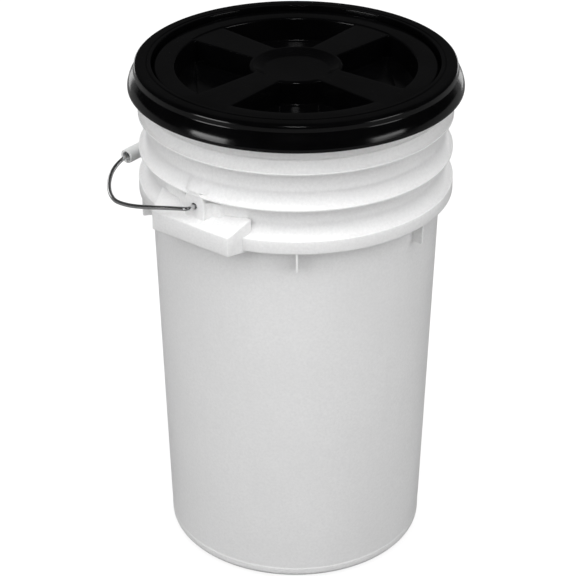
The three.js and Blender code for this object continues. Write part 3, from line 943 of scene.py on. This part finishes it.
# ------------------------------------------------------------------ stage, light and camera
CAMERA_PLACE = (-1.4161, -1.1084, 1.2724)
CAMERA_TURN_DEG = (60.92, 0, -51.7)
CAMERA_LENS = 124.5
BACKDROP = 1.0               # brightness of the surroundings as the camera sees them
SURROUNDINGS = (0.008, 0.032)    # brightness that reaches the object: elsewhere, and from the board behind
BOARD_HEIGHT_DEG = 24
BOARD_EDGE = (0.55, 0.9)     # cosines of the angles from the board's middle where it fades
FLOOR_HALF = 12000
FLOOR_Z = -0.2
FLOOR_GREY = 0.16
FLOOR_GLOW = 0.86            # lifts the floor to near white in the picture, without lighting the object
# broad distant lights, left out of reflections: strength, spread, height above the horizon and swing
SUNS = {
    "left_key": dict(strength=1.48, spread=50, height=34, swing=-58),
    "right_key": dict(strength=1.46, spread=50, height=34, swing=56),
    "back_fill": dict(strength=1.1, spread=90, height=15, swing=180),
    "ceiling": dict(strength=2.05, spread=60, height=84, swing=0),
}
# near boxes: low ones for the long highlights round the skirt and the pale patches at its sides, a small
# one above the camera for the glints along the creases, and one left out of reflections that reaches in
# under the skirt
BOXES = {
    "left_box": dict(width=0.8, height=0.35, distance=1.9, swing=-56, rise=5, watts=5),
    "right_box": dict(width=0.75, height=0.3, distance=1.9, swing=60, rise=5, watts=2.2),
    "left_rim": dict(width=0.5, height=0.4, distance=1.9, swing=-150, rise=-9, watts=0.8),
    "right_rim": dict(width=0.5, height=0.4, distance=1.9, swing=150, rise=-9, watts=0.8),
    "top_box": dict(width=0.35, height=0.1, distance=1.9, swing=0, rise=40, watts=1.3),
    "front_fill": dict(width=0.7, height=0.2, distance=0.85, swing=6, rise=-4, watts=1.2, reflected=False),
}


def set_camera():
    data = bpy.data.cameras.new("camera")
    data.lens = CAMERA_LENS
    data.clip_end = 50
    camera = bpy.data.objects.new("camera", data)
    camera.location = CAMERA_PLACE
    camera.rotation_euler = [radians(a) for a in CAMERA_TURN_DEG]
    bpy.context.scene.collection.objects.link(camera)
    bpy.context.scene.camera = camera


def toward(swing, height):
    """Unit vector from the object to a place swing degrees round from the camera and height degrees up."""
    a = atan2(CAMERA_PLACE[1], CAMERA_PLACE[0]) + radians(swing)
    h = radians(height)
    return Vector((cos(a) * cos(h), sin(a) * cos(h), sin(h)))


def set_lights():
    for name, sun in SUNS.items():
        light = bpy.data.lights.new(name, "SUN")
        light.energy = sun["strength"]
        light.angle = radians(sun["spread"])
        lamp = bpy.data.objects.new(name, light)
        lamp.visible_glossy = False
        lamp.rotation_euler = (-toward(sun["swing"], sun["height"])).to_track_quat("-Z", "Y").to_euler()
        bpy.context.scene.collection.objects.link(lamp)
    for name, box in BOXES.items():
        light = bpy.data.lights.new(name, "AREA")
        light.shape = "RECTANGLE"
        light.size = box["width"]
        light.size_y = box["height"]
        light.energy = box["watts"]
        lamp = bpy.data.objects.new(name, light)
        aim = Vector((0, 0, RING_TOP * MM))
        away = toward(box["swing"], box["rise"])
        lamp.visible_camera = False
        lamp.visible_glossy = box.get("reflected", True)
        lamp.location = aim + away * box["distance"]
        lamp.rotation_euler = (-away).to_track_quat("-Z", "Y").to_euler()
        bpy.context.scene.collection.objects.link(lamp)


def set_world():
    """A pale backdrop for the camera, and dim surroundings with a soft grey board behind for the object."""
    world = bpy.data.worlds.new("studio")
    world.use_nodes = True
    nodes, links = world.node_tree.nodes, world.node_tree.links
    dim = nodes["Background"]
    dim.inputs["Color"].default_value = (1, 1, 1, 1)
    board = nodes.new("ShaderNodeVectorMath")
    board.operation = "DOT_PRODUCT"
    board.inputs[1].default_value = toward(180, BOARD_HEIGHT_DEG)
    links.new(nodes.new("ShaderNodeTexCoord").outputs["Generated"], board.inputs[0])
    spread = nodes.new("ShaderNodeMapRange")
    for key, number in zip(("From Min", "From Max", "To Min", "To Max"), (*BOARD_EDGE, *SURROUNDINGS)):
        spread.inputs[key].default_value = number
    links.new(board.outputs["Value"], spread.inputs["Value"])
    links.new(spread.outputs["Result"], dim.inputs["Strength"])
    pale = nodes.new("ShaderNodeBackground")
    pale.inputs["Color"].default_value = (1, 1, 1, 1)
    pale.inputs["Strength"].default_value = BACKDROP
    mix = nodes.new("ShaderNodeMixShader")
    links.new(nodes.new("ShaderNodeLightPath").outputs["Is Camera Ray"], mix.inputs[0])
    links.new(dim.outputs[0], mix.inputs[1])
    links.new(pale.outputs[0], mix.inputs[2])
    links.new(mix.outputs[0], nodes["World Output"].inputs["Surface"])
    bpy.context.scene.world = world


def set_floor():
    floor = Shape()
    corners = [(-1, -1), (1, -1), (1, 1), (-1, 1)]
    floor.faces.append(floor.ring([(x * FLOOR_HALF, y * FLOOR_HALF, FLOOR_Z) for x, y in corners]))
    made = floor.make("floor")
    f = Finish("pale_floor")
    f.set(Base_Color=(FLOOR_GREY, FLOOR_GREY, FLOOR_GREY, 1), Roughness=0.9, Specular_IOR_Level=0.0)
    f.set(Emission_Color=(1, 1, 1, 1))
    glow = f.ramp(f.node("ShaderNodeLightPath").outputs["Is Camera Ray"], 0, 1, 0, FLOOR_GLOW)
    f.link(glow, f.shader.inputs["Emission Strength"])
    made.data.materials.append(f.material)


# ------------------------------------------------------------------ assembly
def dress(piece, material, body, slot, *nodes):
    """Gives a piece its material and its body, and hides the CAD nodes it stands for."""
    piece.data.materials.clear()
    piece.data.materials.append(material)
    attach(piece, body)
    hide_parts(*nodes)


set_camera()
black = black_plastic()
dress(pail_body(), white_plastic(), "pail", "white_plastic", "pail_body")
dress(adapter_ring(), black, "pail", "black_plastic", "adapter_ring")
dress(spin_lid(), black, "lid", "black_plastic", "spin_lid")
dress(bail_wire(), steel(), "bail", "steel_wire", "bail_wire")
dress(bail_grip(), grip_plastic(), "grip", "grip_plastic", "bail_grip")
gasket = rubber()
for node in ("ring_gasket", "lid_gasket"):
    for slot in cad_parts[node].material_slots:
        slot.material = gasket
set_floor()
set_lights()
set_world()
bpy.context.scene.view_settings.view_transform = "Standard"
